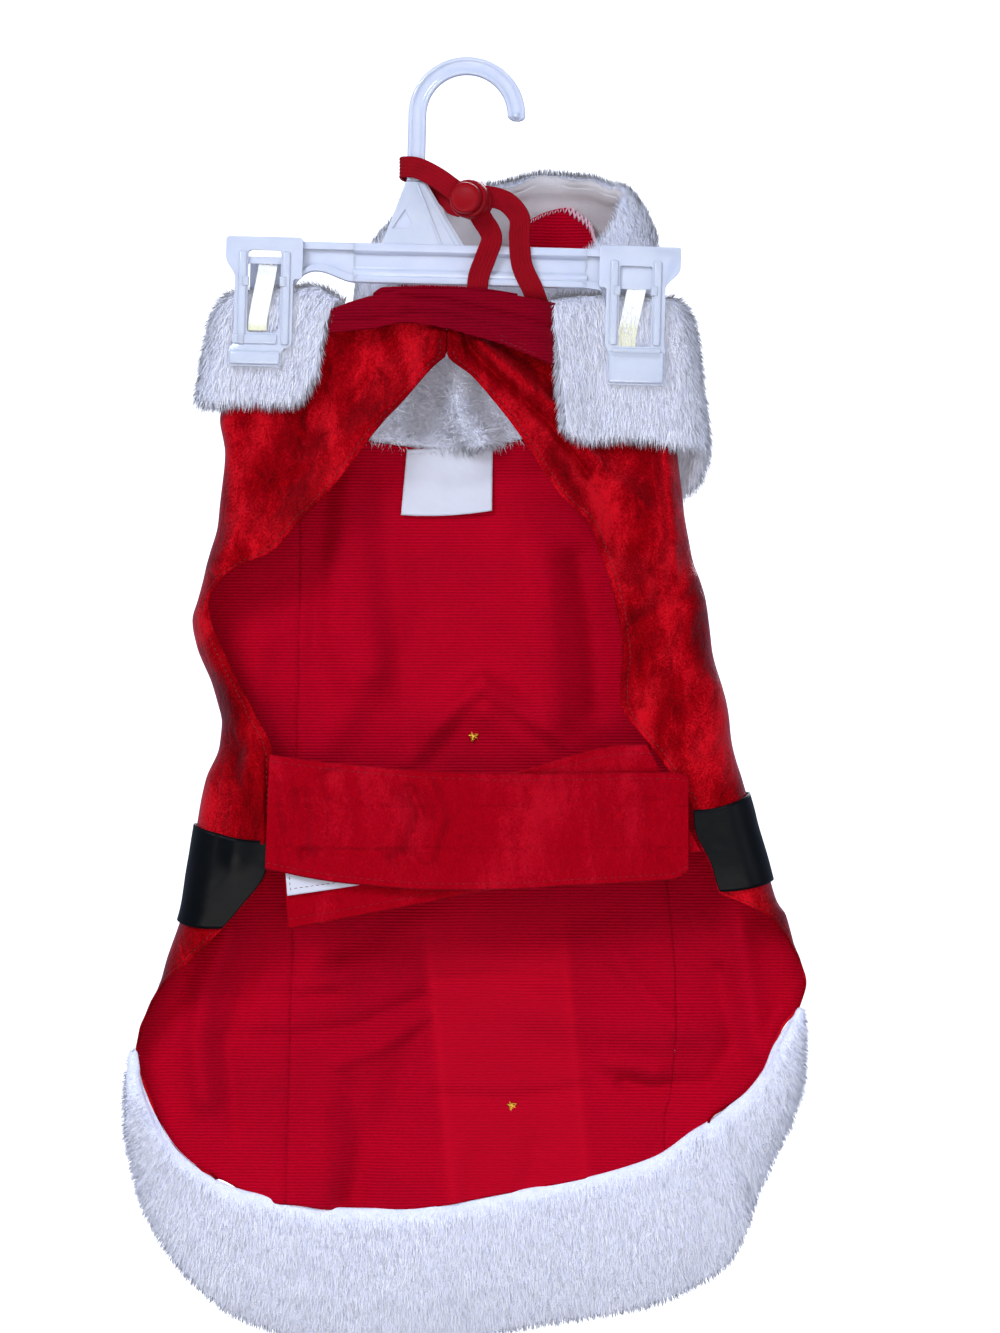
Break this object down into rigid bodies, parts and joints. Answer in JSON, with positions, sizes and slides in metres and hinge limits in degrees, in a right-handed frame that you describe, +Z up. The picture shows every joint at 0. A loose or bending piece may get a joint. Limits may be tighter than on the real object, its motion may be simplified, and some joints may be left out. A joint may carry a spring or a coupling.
{
  "type": "dog santa suit on its clip hanger",
  "caption": "Dog Santa suit hanging from its two-clip hanger: open-bellied coat with folded plush collar, belly straps, belt and plush hem, and a hat on an elastic with a cord lock.",
  "frame": {"origin": "underside of the hook's crown, where a rail carries the hanger", "axes": "+Z up, +X to the viewer's right, +Y away from the open belly side towards the outside of the back"},
  "size_m": [0.306, 0.1076, 0.5726],
  "materials": {
    "velvet": "crushed pile",
    "velvet_back": "matte knit",
    "plush": "long pile",
    "satin": "satin",
    "elastic": "ribbed braid",
    "cord_lock": "semi-gloss",
    "hanger": "translucent, moulded",
    "spring": "polished strip",
    "button": "polished",
    "tape": "woven"
  },
  "bodies": {
    "root": {"hanger_hook": "hanger", "hanger_bar": "hanger", "clip_front_left": "hanger", "clip_back_left": "hanger", "clip_spring_left": "spring", "clip_front_right": "hanger", "clip_back_right": "hanger", "clip_spring_right": "spring", "back_panel": "velvet_back", "side_left": "velvet", "side_right": "velvet", "hem_trim": "plush", "collar": "plush", "neck_tab_over": "velvet_back", "neck_tab_under": "velvet_back", "belly_strap_over": "velvet", "belly_strap_under": "velvet", "hook_patch": "tape", "belt": "satin", "placket": "plush", "button_upper": "button", "button_lower": "button", "label": "tape", "hat_brim": "plush", "hat_cone": "velvet", "hat_pompom": "plush", "elastic_left": "elastic", "elastic_right": "elastic", "elastic_loop": "elastic", "toggle_barrel": "cord_lock", "toggle_button": "cord_lock"}
  },
  "joints": []
}
